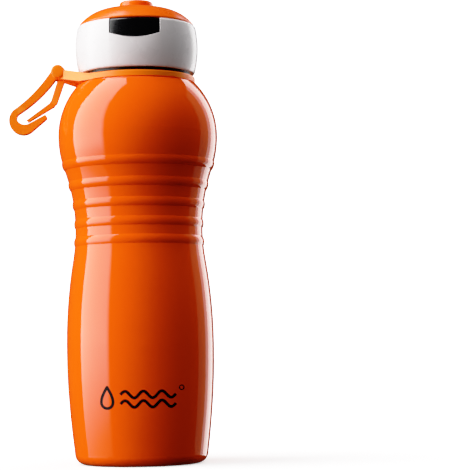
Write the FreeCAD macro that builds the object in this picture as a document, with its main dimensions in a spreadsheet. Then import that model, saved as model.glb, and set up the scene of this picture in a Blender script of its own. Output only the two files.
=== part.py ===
"""Sports water bottle with a pop-up spout and a folding carry hook.

Millimetres, +Z up. The origin is the centre of the circle that the bottle stands on. The release
button faces -Y and the carry hook's hinge is on the -X side.
"""
import FreeCAD, Part
import math
import os
import re

import Sketcher

# Driving dimensions: name, value in millimetres (or degrees, or a count), what it is.
SIZES = [
    ("wall", 0.6, "steel thickness of the bottle"),
    ("foot_edge", 26.0, "radius where the foot's round corner starts"),
    ("foot_corner", 5.0, "round corner of the foot"),
    ("foot_side", 31.05, "radius at the top of the foot's corner"),
    ("belly_radius", 34.4, "widest radius below the waist"),
    ("belly_height", 55.0, "height of the belly's widest place"),
    ("belly_low_curve", 360.0, "curve of the side below the belly"),
    ("waist_radius", 29.85, "narrowest radius, where the hand grips"),
    ("waist_height", 109.2, "height of the waist"),
    ("waist_curve", 84.5, "hollow curve of the waist"),
    ("bulge_radius", 37.4, "widest radius of the whole bottle"),
    ("bulge_height", 153.2, "height of the widest place"),
    ("bulge_low_curve", 47.5, "curve of the side below the bulge"),
    ("bulge_high_curve", 36.0, "curve of the shoulder above the bulge"),
    ("bead_low", 103.3, "height of the lowest grip bead"),
    ("bead_pitch", 8.3, "step from the lowest bead to the next"),
    ("bead_pitch_growth", 0.4, "each step is this much larger than the one below"),
    ("bead_width", 4.2, "height of one bead"),
    ("bead_proud", 0.5, "how far a bead stands out"),
    ("shoulder_height", 177.6, "flat ledge round the neck"),
    ("neck_radius", 22.0, "outside of the neck"),
    ("neck_top", 192.5, "rim of the mouth"),
    ("thread_lead", 4.0, "rise of the cap thread in one turn"),
    ("thread_depth", 0.8, "height of the thread ridges"),
    ("thread_start", 184.8, "lower end of the neck's thread"),
    ("thread_turns", 1.5, "turns of thread on the neck"),
    ("seam_radius", 24.0, "opening in the foot that the base plate closes"),
    ("recess_depth", 3.2, "height of the base plate above the ground"),
    ("ring_bottom", 178.0, "strap ring, lower face"),
    ("ring_top", 181.0, "strap ring, upper face"),
    ("ring_inner", 22.4, "strap ring, bore"),
    ("ring_outer", 27.3, "strap ring, outside"),
    ("pin_reach", 37.0, "distance of the hook's hinge pin from the bottle's axis"),
    ("pin_height", 183.7, "height of the hinge pin"),
    ("pin_radius", 1.25, "hinge pin"),
    ("pin_length", 8.2, "hinge pin"),
    ("ear_radius", 3.15, "round ears that hold the pin"),
    ("ear_inner", 2.9, "half of the gap between the ears"),
    ("ear_outer", 5.1, "half of the width over the ears"),
    ("arm_angle", 51.0, "where the arms meet the ring, from the hinge's side"),
    ("running", 0.05, "radial clearance of a turning fit"),
    ("press", 0.02, "radial clearance of a pressed pin"),
    ("knuckle_radius", 3.4, "hook's barrel round the pin"),
    ("knuckle_half", 2.6, "half of the barrel's length"),
    ("hook_half", 2.2, "half of the hook's thickness"),
    ("slot_half", 1.4, "half of the slot that the gate's knuckle turns in"),
    ("slot_radius", 3.8, "radius of that slot"),
    ("gate_half", 1.7, "half of the gate's width"),
    ("gate_knuckle_half", 1.1, "half of the gate knuckle's length"),
    ("gate_knuckle", 3.1, "radius of the gate's knuckle"),
    ("core_bottom", 181.5, "lower edge of the threaded skirt"),
    ("core_outer", 25.0, "outside of the skirt"),
    ("core_bore", 23.1, "bore of the skirt"),
    ("deck_bottom", 193.7, "underside of the deck that closes the mouth"),
    ("deck_top", 195.7, "upper side of the deck"),
    ("tube_inner", 9.9, "tube that guides the spout"),
    ("tube_outer", 11.4, "tube that guides the spout"),
    ("tube_top", 208.3, "tube that guides the spout"),
    ("collar_bottom", 182.6, "white collar, lower edge"),
    ("collar_foot", 27.3, "white collar, radius at the lower edge"),
    ("collar_belly", 28.9, "white collar, widest radius"),
    ("collar_belly_height", 195.0, "white collar, height of the widest place"),
    ("collar_curve", 45.0, "white collar, curve of its side"),
    ("collar_top", 205.3, "white collar, upper edge"),
    ("collar_lip", 26.75, "white collar, radius at the upper edge"),
    ("collar_inner", 25.4, "white collar, inside above the core"),
    ("notch_half", 11.6, "half of the button's notch"),
    ("notch_side", 198.2, "height where the notch's straight sides end"),
    ("notch_bottom", 195.9, "lowest place of the notch"),
    ("button_gap", 0.25, "gap round the button"),
    ("button_inner", 26.0, "button, inner radius"),
    ("scoop_radius", 60.0, "ball that cuts the thumb scoop"),
    ("scoop_floor", 28.0, "distance of the scoop's deepest place from the axis"),
    ("scoop_height", 196.0, "height of that place"),
    ("dome_rim", 26.7, "dome, radius of its rim"),
    ("dome_rim_height", 205.6, "dome, height of its rim"),
    ("dome_curve", 20.0, "dome, curve of its side"),
    ("dome_flat", 11.4, "dome, radius where its side levels out"),
    ("dome_top", 213.4, "dome, height of its top"),
    ("dome_wall", 1.8, "dome, thickness"),
    ("spout_radius", 8.3, "spout, outside"),
    ("spout_tip", 7.9, "spout, outside at the top"),
    ("spout_bottom", 197.2, "spout, lower end when pushed in"),
    ("spout_top", 217.2, "spout, upper end when pushed in"),
    ("spout_bore", 6.0, "spout, inside"),
    ("spout_hole", 2.45, "spout, drinking hole"),
    ("flange_radius", 9.6, "spout, flange that stops it"),
    ("flange_top", 199.5, "spout, flange that stops it"),
    ("o_ring", 0.6, "O-ring, radius of its section"),
    ("post_radius", 1.7, "valve post"),
    ("latch_bottom", 200.2, "latch plate, lower face"),
    ("latch_thick", 1.4, "latch plate"),
    ("latch_radius", 16.5, "latch plate, outside"),
    ("stem_half", 4.5, "latch plate, half of the stem that meets the button"),
    ("tooth_half", 3.4, "latch plate, half of the tooth"),
    ("press_travel", 1.6, "travel of the button"),
    ("guide_inner", 12.8, "guide under the latch plate, inside"),
    ("guide_outer", 16.2, "guide under the latch plate, outside"),
    ("vent_reach", 15.0, "distance of the air valve from the axis"),
    ("vent_radius", 2.4, "air valve"),
]

BEADS = 5
FLOW_HOLES = 6
V = FreeCAD.Vector
doc = FreeCAD.newDocument("WaterBottle")


def make_sheet():
    """Writes the driving dimensions into a spreadsheet with one alias each."""
    sheet = doc.addObject("Spreadsheet::Sheet", "Sizes")
    for row, (alias, value, note) in enumerate(SIZES, start=1):
        sheet.set(f"A{row}", note)
        sheet.set(f"B{row}", str(value))
        sheet.setAlias(f"B{row}", alias)
    doc.recompute()
    return sheet


sheet = make_sheet()
ALIASES = {alias for alias, _, _ in SIZES}


def expr(text):
    """Turns 'neck_radius - wall' into the expression 'Sizes.neck_radius - Sizes.wall'."""
    def full_name(found):
        word = found.group()
        return f"Sizes.{word}" if word in ALIASES else word

    return re.sub(r"[a-z_]+", full_name, str(text))


def value(text):
    """The number that an expression gives now."""
    result = sheet.evalExpression(expr(text))
    return float(getattr(result, "Value", result))


def bind(thing, prop, text):
    """Binds a property to an expression of the sheet."""
    thing.setExpression(prop, expr(text))


def new_body(name):
    body = doc.addObject("PartDesign::Body", name)
    body.Label = name
    return body


def new_sketch(body, name, role, height=None):
    """An empty sketch on one of the body's own origin planes, raised by height."""
    sketch = body.newObject("Sketcher::SketchObject", name)
    plane = next(item for item in body.Origin.OriginFeatures if item.Role == role)
    sketch.AttachmentSupport = [(plane, "")]
    sketch.MapMode = "FlatFace"
    if height is not None:
        bind(sketch, "AttachmentOffset.Base.z", height)
    return sketch


def hold(sketch, kind, refs, text):
    """Adds a constraint whose size follows an expression."""
    index = sketch.addConstraint(Sketcher.Constraint(kind, *refs, value(text)))
    sketch.setExpression(f"Constraints[{index}]", expr(text))


def arc_between(start, end, radius):
    """Arc from start to end; a positive radius bulges to the left of the way. A sketch's arcs run
    anticlockwise, so a bulge to the left is stored from its end to its start."""
    chord = end - start
    left = V(-chord.y, chord.x, 0).normalize()
    back = math.sqrt(radius**2 - (chord.Length / 2) ** 2)
    centre = (start + end) / 2 - left * math.copysign(back, radius)
    first, last = (end, start) if radius > 0 else (start, end)
    low = math.atan2(first.y - centre.y, first.x - centre.x)
    high = math.atan2(last.y - centre.y, last.x - centre.x)
    if high < low:
        high += 2 * math.pi
    return Part.ArcOfCircle(Part.Circle(centre, V(0, 0, 1), abs(radius)), low, high)


def is_backward_arc(point):
    """Whether the edge that ends at this point is stored from its end to its start."""
    return len(point) == 3 and value(point[2]) > 0


def outline(sketch, points):
    """Draws a closed outline. A point is (across, up) and ends a line, or (across, up, radius)
    and ends an arc of that radius. Every number is an expression of the sheet."""
    places = [V(value(point[0]), value(point[1]), 0) for point in points]
    first = sketch.GeometryCount
    for index, point in enumerate(points):
        start, end = places[index - 1], places[index]
        if len(point) == 3:
            sketch.addGeometry(arc_between(start, end, value(point[2])), False)
        else:
            sketch.addGeometry(Part.LineSegment(start, end), False)
    for index, point in enumerate(points):
        edge = first + index
        following = (index + 1) % len(points)
        end_vertex = 1 if is_backward_arc(point) else 2
        start_vertex = 2 if is_backward_arc(points[following]) else 1
        sketch.addConstraint(
            Sketcher.Constraint("Coincident", edge, end_vertex, first + following, start_vertex)
        )
        hold(sketch, "DistanceX", (-1, 1, edge, end_vertex), point[0])
        hold(sketch, "DistanceY", (-1, 1, edge, end_vertex), point[1])
        if len(point) == 3:
            hold(sketch, "Radius", (edge,), f"abs( {point[2]} )")


def circle(sketch, across, up, radius):
    """Draws a circle whose place and radius follow the sheet."""
    centre = V(value(across), value(up), 0)
    index = sketch.addGeometry(Part.Circle(centre, V(0, 0, 1), value(radius)), False)
    hold(sketch, "DistanceX", (-1, 1, index, 3), across)
    hold(sketch, "DistanceY", (-1, 1, index, 3), up)
    hold(sketch, "Radius", (index,), radius)


def turn(body, name, loops, kind="Revolution"):
    """Revolves closed outlines round the bottle's axis, adding material or cutting a groove."""
    sketch = new_sketch(body, f"{name}_outline", "XZ_Plane")
    for points in loops:
        outline(sketch, points)
    doc.recompute()
    feature = body.newObject(f"PartDesign::{kind}", name)
    feature.Profile = sketch
    feature.ReferenceAxis = (sketch, ["V_Axis"])
    feature.Angle = 360
    doc.recompute()
    return feature


def turned_body(name, *loops):
    body = new_body(name)
    turn(body, f"{name}_turned", loops)
    return body


def thicken(body, name, sketch, length, kind="Pad", midplane=False, reverse=False):
    """Pads or pockets a sketch by a length that follows the sheet."""
    feature = body.newObject(f"PartDesign::{kind}", name)
    feature.Profile = sketch
    bind(feature, "Length", length)
    feature.Midplane = midplane
    feature.Reversed = reverse
    doc.recompute()
    return feature


def must_cut(body, before):
    """A cut that misses the material shows no error, so the volume is compared."""
    if body.Shape.Volume >= before - 0.01:
        raise RuntimeError(f"a cut in {body.Label} removed nothing")


def helix(body, name, loop, pitch, height):
    """Winds a closed outline round the bottle's axis."""
    sketch = new_sketch(body, f"{name}_outline", "XZ_Plane")
    outline(sketch, loop)
    doc.recompute()
    feature = body.newObject("PartDesign::AdditiveHelix", name)
    feature.Profile = sketch
    feature.ReferenceAxis = (sketch, ["V_Axis"])
    feature.Mode = 0
    bind(feature, "Pitch", pitch)
    bind(feature, "Height", height)
    doc.recompute()
    return feature


# ---- bottle ---------------------------------------------------------------------------------

BELLY_HIGH_CURVE = (
    "( ( belly_radius - waist_radius ) ^ 2 + ( waist_height - belly_height ) ^ 2 )"
    " / ( 2 * ( belly_radius - waist_radius ) ) - waist_curve"
)


def bend(low_height, high_height, low_curve, high_curve):
    """Height where two tangent arcs meet: it divides the way between their levels as their radii do."""
    return (
        f"( {low_height} + ( {high_height} - {low_height} ) * ( {low_curve} )"
        f" / ( ( {low_curve} ) + ( {high_curve} ) ) )"
    )


LOW_BEND = bend("belly_height", "waist_height", BELLY_HIGH_CURVE, "waist_curve")
HIGH_BEND = bend("waist_height", "bulge_height", "waist_curve", "bulge_low_curve")


def side_radius(height):
    """The bottle's outer radius at a height on the waist, or above it on the bulge."""
    if value(height) <= value(HIGH_BEND):
        return (
            f"( waist_radius + waist_curve"
            f" - sqrt( waist_curve ^ 2 - ( {height} - waist_height ) ^ 2 ) )"
        )
    return (
        f"( bulge_radius - bulge_low_curve"
        f" + sqrt( bulge_low_curve ^ 2 - ( bulge_height - ( {height} ) ) ^ 2 ) )"
    )


def bend_point(height, inset, radius):
    """A point of the waist's arc, moved into the bottle by inset along the side's normal."""
    stretch = f"( 1 + ( {inset} ) / waist_curve )"
    across = "waist_radius + waist_curve"
    return (
        f"{across} - ( {across} - {side_radius(height)} ) * {stretch}",
        f"waist_height + ( {height} - waist_height ) * {stretch}",
        radius,
    )


def grip_beads():
    """The raised beads round the waist, from the lowest up, each an arc on the side's curve."""
    curve = "0 - bead_width ^ 2 / ( 8 * bead_proud ) - bead_proud / 2"
    points = []
    for number in range(BEADS):
        growth = sum(range(number))
        middle = f"( bead_low + bead_pitch * {number} + bead_pitch_growth * {growth} )"
        low = f"( {middle} - bead_width / 2 )"
        high = f"( {middle} + bead_width / 2 )"
        points.append((side_radius(low), low, "waist_curve"))
        points.append((side_radius(high), high, curve))
    return points


def shell_side(inset, waist):
    """The bottle's side from the foot to the rim of the mouth, moved in by inset. The points of
    the waist, from the lower bend to the bulge, are handed in."""
    shoulder = (
        f"bulge_radius - bulge_high_curve + sqrt( ( bulge_high_curve - {inset} ) ^ 2"
        f" - ( shoulder_height - {inset} - bulge_height ) ^ 2 )"
    )
    return [
        ("foot_edge", inset),
        (f"foot_side - {inset}", "foot_corner", f"0 - foot_corner * 1.01 + {inset}"),
        (f"belly_radius - {inset}", "belly_height", f"0 - belly_low_curve + {inset}"),
        bend_point(LOW_BEND, inset, f"0 - ( {BELLY_HIGH_CURVE} ) + {inset}"),
        *waist,
        (f"bulge_radius - {inset}", "bulge_height", f"0 - bulge_low_curve + {inset}"),
        (shoulder, f"shoulder_height - {inset}", f"0 - bulge_high_curve + {inset}"),
        (f"neck_radius - {inset}", f"shoulder_height - {inset}"),
        (f"neck_radius - {inset}", "neck_top"),
    ]


def backwards(points):
    """The same stretch of outline drawn the other way, so that its arcs bulge the other way."""
    turned = [points[-1][:2]]
    for point, after in zip(points[-2::-1], points[:0:-1]):
        radius = (f"0 - ( {after[2]} )",) if len(after) == 3 else ()
        turned.append(point[:2] + radius)
    return turned


def bottle_shell():
    """One steel shell: foot, belly, waist, bulge, shoulder, and a neck with a thread."""
    body = new_body("bottle_shell")
    turn(body, "shell", [[
        ("seam_radius", "0"),
        *shell_side("0", grip_beads()),
        *backwards(shell_side("wall", [bend_point(HIGH_BEND, "wall", "waist_curve + wall")])),
        ("seam_radius", "wall"),
    ]])
    helix(body, "neck_thread", [
        ("neck_radius - 0.2", "thread_start - 1"),
        ("neck_radius + thread_depth", "thread_start - 0.4"),
        ("neck_radius + thread_depth", "thread_start + 0.4"),
        ("neck_radius - 0.2", "thread_start + 1"),
    ], "thread_lead", "thread_lead * thread_turns")
    return body


def base_plate():
    """Dished steel disc welded over the opening in the foot."""
    return turned_body("base_plate", [
        ("0", "recess_depth"),
        ("seam_radius - 3", "recess_depth"),
        ("seam_radius - 1", "wall"),
        ("seam_radius + 2", "wall"),
        ("seam_radius + 2", "wall * 2"),
        ("seam_radius - 0.6", "wall * 2"),
        ("seam_radius - 2.6", "recess_depth + wall"),
        ("0", "recess_depth + wall"),
    ])


# ---- carry strap and hook ---------------------------------------------------------------------

def strap_ring():
    """Ring that turns round the neck, with two arms that run off it to the hinge ears."""
    body = new_body("strap_ring")
    turn(body, "ring", [[
        ("ring_inner", "ring_bottom"),
        ("ring_outer - 0.4", "ring_bottom"),
        ("ring_outer", "ring_bottom + 0.4", "-0.4"),
        ("ring_outer", "ring_top - 0.9"),
        ("ring_outer - 0.9", "ring_top", "-0.9"),
        ("ring_inner", "ring_top"),
    ]])
    join_x = "( ring_outer - 0.5 ) * cos( arm_angle * 1deg )"
    join_y = "( ring_outer - 0.5 ) * sin( arm_angle * 1deg )"
    for name, sign in (("rear", ""), ("front", "0 - ")):
        plan = new_sketch(body, f"{name}_arm_plan", "XY_Plane", "ring_bottom")
        outline(plan, [
            ("0 - pin_reach - 0.5", f"{sign}ear_outer"),
            ("0 - pin_reach", f"{sign}ear_outer"),
            (f"0 - {join_x}", f"{sign}{join_y}"),
            (f"0 - {join_x} + 1.4", f"{sign}( {join_y} - 1.7 )"),
            ("0 - pin_reach + 0.8", f"{sign}ear_inner"),
            ("0 - pin_reach - 0.5", f"{sign}ear_inner"),
        ])
        doc.recompute()
        thicken(body, f"{name}_arm", plan, "pin_height - ring_bottom + ear_radius * 0.5")
    above = new_sketch(body, "above_arms", "XZ_Plane")
    outline(above, [
        ("0 - ring_outer * 0.8", "ring_top"),
        ("0 - ring_inner * 0.6", "ring_top"),
        ("0 - ring_inner * 0.6", "ring_top + 9"),
        ("0 - pin_reach - 2", "ring_top + 9"),
        ("0 - pin_reach - 2", "pin_height + ear_radius * 0.35"),
        ("0 - pin_reach + 4", "pin_height + ear_radius * 0.1"),
    ])
    below = new_sketch(body, "below_arms", "XZ_Plane")
    outline(below, [
        ("0 - ring_outer + 0.5", "ring_bottom"),
        ("0 - pin_reach", "pin_height - ear_radius"),
        ("0 - pin_reach - 2", "pin_height - ear_radius"),
        ("0 - pin_reach - 2", "ring_bottom - 2"),
        ("0 - ring_outer + 0.5", "ring_bottom - 2"),
    ])
    doc.recompute()
    for sketch in (above, below):
        before = body.Shape.Volume
        thicken(body, f"{sketch.Name}_cut", sketch, "ring_outer * 2", kind="Pocket", midplane=True)
        must_cut(body, before)
    ears = new_sketch(body, "ear_side", "XZ_Plane")
    circle(ears, "0 - pin_reach", "pin_height", "ear_radius")
    doc.recompute()
    thicken(body, "ears", ears, "ear_outer * 2", midplane=True)
    gap = new_sketch(body, "ear_gap", "XZ_Plane")
    circle(gap, "0 - pin_reach", "pin_height", "ear_radius + 0.9")
    doc.recompute()
    before = body.Shape.Volume
    thicken(body, "ear_slot", gap, "ear_inner * 2", kind="Pocket", midplane=True)
    must_cut(body, before)
    hole = new_sketch(body, "pin_hole", "XZ_Plane")
    circle(hole, "0 - pin_reach", "pin_height", "pin_radius + press")
    doc.recompute()
    before = body.Shape.Volume
    thicken(body, "pin_bore", hole, "pin_length + 0.1", kind="Pocket", midplane=True)
    must_cut(body, before)
    return body


def hinge_pin():
    """Steel pin pressed into the ears from inside; the hook and its gate turn on it."""
    pin = doc.addObject("Part::Cylinder", "hinge_pin")
    pin.Label = "hinge_pin"
    bind(pin, "Radius", "pin_radius")
    bind(pin, "Height", "pin_length")
    pin.Placement = FreeCAD.Placement(V(0, 0, 0), FreeCAD.Rotation(V(1, 0, 0), 90))
    bind(pin, "Placement.Base.x", "0 - pin_reach")
    bind(pin, "Placement.Base.y", "pin_length / 2")
    bind(pin, "Placement.Base.z", "pin_height")
    return pin


def from_pin(across, up, radius=None):
    """A point given from the hinge pin, for an outline in the hook's plane."""
    point = (f"0 - pin_reach + {across}", f"pin_height + {up}")
    if radius is None:
        return point
    return point + (radius,)


def carry_hook():
    """J-shaped hook: a forked barrel on the pin, a bowed shank, a round crook and a short nose."""
    body = new_body("carry_hook")
    side = new_sketch(body, "hook_side", "XZ_Plane")
    outline(side, [
        from_pin(-1.3, -3.0, "-64"),
        from_pin(-3.3, 0.6, "-3.4"),
        from_pin(-2.7, 2.0, "-3.4"),
        from_pin(-21.4, -17.5, "68"),
        from_pin(-23.1, -24.3, "-6.8"),
        from_pin(-13.2, -27.9, "-6.4"),
        from_pin(-5.9, -21.7),
        from_pin(-6.5, -19.8, "-1.4"),
        from_pin(-14.0, -23.8),
        from_pin(-19.9, -21.7, "4.2"),
        from_pin(-18.8, -19.2, "2.6"),
    ])
    doc.recompute()
    thicken(body, "hook_plate", side, "hook_half * 2", midplane=True)
    barrel = new_sketch(body, "barrel_side", "XZ_Plane")
    circle(barrel, "0 - pin_reach", "pin_height", "knuckle_radius")
    doc.recompute()
    thicken(body, "barrel", barrel, "knuckle_half * 2", midplane=True)
    slot = new_sketch(body, "slot_side", "XZ_Plane")
    circle(slot, "0 - pin_reach", "pin_height", "slot_radius")
    doc.recompute()
    before = body.Shape.Volume
    thicken(body, "gate_slot", slot, "slot_half * 2", kind="Pocket", midplane=True)
    must_cut(body, before)
    hole = new_sketch(body, "bore_side", "XZ_Plane")
    circle(hole, "0 - pin_reach", "pin_height", "pin_radius + running")
    doc.recompute()
    before = body.Shape.Volume
    thicken(body, "pin_bore_hook", hole, "knuckle_half * 3", kind="Pocket", midplane=True)
    must_cut(body, before)
    return body


def hook_gate():
    """Springy leaf that closes the hook: a knuckle on the pin, a bent leg and a thin tip."""
    body = new_body("hook_gate")
    neck = new_sketch(body, "gate_neck_side", "XZ_Plane")
    outline(neck, [
        from_pin(-0.7, -4.6),
        from_pin(-0.5, -2.0),
        from_pin(2.0, -2.0),
        from_pin(2.6, -4.6),
    ])
    doc.recompute()
    thicken(body, "gate_neck", neck, "gate_knuckle_half * 2", midplane=True)
    leaf = new_sketch(body, "gate_leaf_side", "XZ_Plane")
    outline(leaf, [
        from_pin(-0.6, -3.9),
        from_pin(2.8, -3.9),
        from_pin(-1.0, -14.6),
        from_pin(-2.2, -15.9, "-2.2"),
        from_pin(-14.6, -23.2),
        from_pin(-15.3, -22.3, "-0.7"),
        from_pin(-4.3, -14.3),
        from_pin(-3.6, -13.3, "2"),
    ])
    doc.recompute()
    thicken(body, "gate_leaf", leaf, "gate_half * 2", midplane=True)
    knuckle = new_sketch(body, "gate_knuckle_side", "XZ_Plane")
    circle(knuckle, "0 - pin_reach", "pin_height", "gate_knuckle")
    doc.recompute()
    thicken(body, "gate_barrel", knuckle, "gate_knuckle_half * 2", midplane=True)
    hole = new_sketch(body, "gate_bore_side", "XZ_Plane")
    circle(hole, "0 - pin_reach", "pin_height", "pin_radius + running")
    doc.recompute()
    before = body.Shape.Volume
    thicken(body, "gate_bore", hole, "gate_half * 3", kind="Pocket", midplane=True)
    must_cut(body, before)
    return body


# ---- cap --------------------------------------------------------------------------------------

def cap_core():
    """Black inner cap: threaded skirt, deck over the mouth, and the tube that guides the spout."""
    body = new_body("cap_core")
    turn(body, "core_turned", [[
        ("core_bore", "core_bottom"),
        ("core_outer", "core_bottom"),
        ("core_outer", "deck_top"),
        ("tube_outer", "deck_top"),
        ("tube_outer", "tube_top"),
        ("tube_inner", "tube_top"),
        ("tube_inner", "deck_top"),
        ("spout_bore", "deck_top"),
        ("spout_bore", "deck_bottom"),
        ("core_bore", "deck_bottom"),
    ]])
    window = new_sketch(body, "latch_window", "XY_Plane", "latch_bottom - 0.4")
    outline(window, [
        ("0 - tooth_half - 0.6", "tube_inner - 1.5"),
        ("tooth_half + 0.6", "tube_inner - 1.5"),
        ("tooth_half + 0.6", "tube_outer + 1"),
        ("0 - tooth_half - 0.6", "tube_outer + 1"),
    ])
    vent = new_sketch(body, "vent_hole", "XY_Plane", "deck_bottom - 1")
    circle(vent, "vent_reach", "0", "vent_radius * 0.5 + press")
    doc.recompute()
    for sketch, length in ((window, "latch_thick + 0.8"), (vent, "6")):
        before = body.Shape.Volume
        thicken(body, f"{sketch.Name}_cut", sketch, length, kind="Pocket", reverse=True)
        must_cut(body, before)
    helix(body, "core_thread", [
        ("core_bore + 0.2", "thread_start + 1.15"),
        ("core_bore + 0.2", "thread_start + 2.85"),
        ("core_bore - thread_depth", "thread_start + 2.35"),
        ("core_bore - thread_depth", "thread_start + 1.65"),
    ], "thread_lead", "thread_lead * 1.25")
    return body


def button_outline(sketch, gap):
    """The front view of the notch, drawn smaller by a gap for the button itself."""
    half = f"( notch_half - {gap} )"
    rise = "( notch_side - notch_bottom )"
    curve = f"0 - ( {half} ^ 2 + {rise} ^ 2 ) / ( 2 * {rise} )"
    outline(sketch, [
        (f"0 - {half}", "collar_top + 1"),
        (f"0 - {half}", f"notch_side + {gap}"),
        ("0", f"notch_bottom + {gap}", curve),
        (half, f"notch_side + {gap}", curve),
        (half, "collar_top + 1"),
    ])


def collar_side(offset):
    """The outer side of the collar, moved in by an offset."""
    low = "( collar_belly_height - collar_bottom - 0.6 )"
    high = "( collar_top - 1.5 - collar_belly_height )"
    base = f"collar_belly - {offset} - collar_curve + sqrt( collar_curve ^ 2 -"
    return [
        (f"{base} {low} ^ 2 )", "collar_bottom + 0.6"),
        (f"collar_belly - {offset}", "collar_belly_height", "0 - collar_curve"),
        (f"{base} {high} ^ 2 )", "collar_top - 1.5", "0 - collar_curve"),
    ]


def cap_collar():
    """White sleeve round the core, with the button's notch and a thumb scoop below it."""
    body = new_body("cap_collar")
    turn(body, "collar_turned", [[
        ("core_outer", "collar_bottom"),
        ("collar_foot - 0.5", "collar_bottom"),
        *collar_side("0"),
        ("collar_lip", "collar_top", "-1.7"),
        ("collar_inner", "collar_top"),
        ("collar_inner", "deck_top + 0.6"),
        ("core_outer", "deck_top"),
    ]])
    scoop = body.newObject("PartDesign::SubtractiveSphere", "thumb_scoop")
    bind(scoop, "Radius", "scoop_radius")
    bind(scoop, "Placement.Base.y", "0 - scoop_floor - scoop_radius")
    bind(scoop, "Placement.Base.z", "scoop_height")
    before = body.Shape.Volume
    doc.recompute()
    must_cut(body, before)
    notch = new_sketch(body, "notch_front", "XZ_Plane")
    button_outline(notch, "0")
    doc.recompute()
    before = body.Shape.Volume
    thicken(body, "button_notch", notch, "collar_belly + 2", kind="Pocket", reverse=True)
    must_cut(body, before)
    return body


def release_button():
    """Black button that fills the notch; its face carries on the collar's curve."""
    body = new_body("release_button")
    front = new_sketch(body, "button_front", "XZ_Plane")
    button_outline(front, "button_gap")
    doc.recompute()
    thicken(body, "button_block", front, "collar_belly + 2")
    before = body.Shape.Volume
    turn(body, "button_inside", [[
        ("0", "notch_bottom - 5"),
        ("button_inner", "notch_bottom - 5"),
        ("button_inner", "collar_top + 5"),
        ("0", "collar_top + 5"),
    ]], "Groove")
    must_cut(body, before)
    before = body.Shape.Volume
    turn(body, "button_face", [[
        ("collar_belly + 8", "collar_bottom + 0.6"),
        *collar_side("0.25"),
        ("collar_lip - 0.3", "collar_top - 0.2", "-1.7"),
        ("button_inner - 4", "collar_top - 0.2"),
        ("button_inner - 4", "collar_top + 8"),
        ("collar_belly + 8", "collar_top + 8"),
    ]], "Groove")
    must_cut(body, before)
    return body


def cap_dome():
    """Orange dome on the collar, with the spout's hole and a sleeve that stops the spout's flange."""
    centre = "dome_top - dome_curve"
    rise = f"{centre} + sqrt( dome_curve ^ 2 - ( dome_rim - dome_flat ) ^ 2 )"
    inside_rise = (
        f"{centre} + sqrt( ( dome_curve - dome_wall ) ^ 2"
        " - ( collar_inner - dome_wall - dome_flat ) ^ 2 )"
    )
    body = turned_body("cap_dome", [
        ("collar_inner - 0.1", "dome_rim_height - 1.9"),
        ("collar_inner - 0.1", "collar_top + 0.02"),
        ("dome_rim - 0.1", "collar_top + 0.02"),
        ("dome_rim", rise, "-0.6"),
        ("dome_flat", "dome_top", "0 - dome_curve"),
        ("spout_radius + 2.4", "dome_top"),
        ("spout_radius + 0.8", "dome_top + 0.9", "1.9"),
        ("spout_radius + 0.3", "dome_top + 0.9"),
        ("spout_radius + 0.3", "tube_top + 0.3"),
        ("tube_outer", "tube_top + 0.3"),
        ("tube_outer", "dome_top - dome_wall"),
        ("collar_inner - dome_wall", inside_rise, "dome_curve - dome_wall"),
        ("collar_inner - dome_wall", "dome_rim_height - 1.9"),
    ])
    room = new_sketch(body, "button_room", "XZ_Plane")
    outline(room, [
        ("0 - notch_half - 0.6", "dome_rim_height - 4"),
        ("notch_half + 0.6", "dome_rim_height - 4"),
        ("notch_half + 0.6", "collar_top"),
        ("0 - notch_half - 0.6", "collar_top"),
    ])
    doc.recompute()
    before = body.Shape.Volume
    thicken(body, "skirt_cut", room, "collar_belly + 2", kind="Pocket", reverse=True)
    must_cut(body, before)
    return body


def cap_gasket():
    """Rubber washer under the deck that seals on the rim of the mouth."""
    return turned_body("cap_gasket", [
        ("neck_radius - 3.4", "neck_top + 0.1"),
        ("neck_radius + 0.8", "neck_top + 0.1"),
        ("neck_radius + 0.8", "deck_bottom - 0.1"),
        ("neck_radius - 3.4", "deck_bottom - 0.1"),
    ])


# ---- spout and valve --------------------------------------------------------------------------

def spout():
    """Drinking spout: a tapered tube with a dished hole at the top and a flange at the foot."""
    return turned_body("spout", [
        ("spout_bore", "spout_bottom"),
        ("flange_radius", "spout_bottom"),
        ("flange_radius", "spout_bottom + 0.5"),
        ("flange_radius - o_ring * 1.6", "spout_bottom + 0.5"),
        ("flange_radius - o_ring * 1.6", "flange_top - 0.5"),
        ("flange_radius", "flange_top - 0.5"),
        ("flange_radius", "flange_top"),
        ("spout_radius", "flange_top"),
        ("spout_radius", "dome_top - 6"),
        ("spout_tip", "spout_top - 1.2"),
        ("spout_tip - 1.2", "spout_top", "-1.2"),
        ("spout_hole + 2.6", "spout_top"),
        ("spout_hole", "spout_top - 1.6", "3.4"),
        ("spout_hole", "spout_top - 2.6"),
        ("spout_hole + 0.6", "spout_top - 2.6"),
        ("spout_hole + 0.6", "spout_top - 4.2"),
        ("spout_bore", "spout_top - 4.2"),
    ])


def ring_seal(name, centre_radius, height):
    """O-ring: a torus round the bottle's axis."""
    seal = doc.addObject("Part::Torus", name)
    seal.Label = name
    bind(seal, "Radius1", centre_radius)
    bind(seal, "Radius2", "o_ring - 0.02")
    bind(seal, "Placement.Base.z", height)
    return seal


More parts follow.
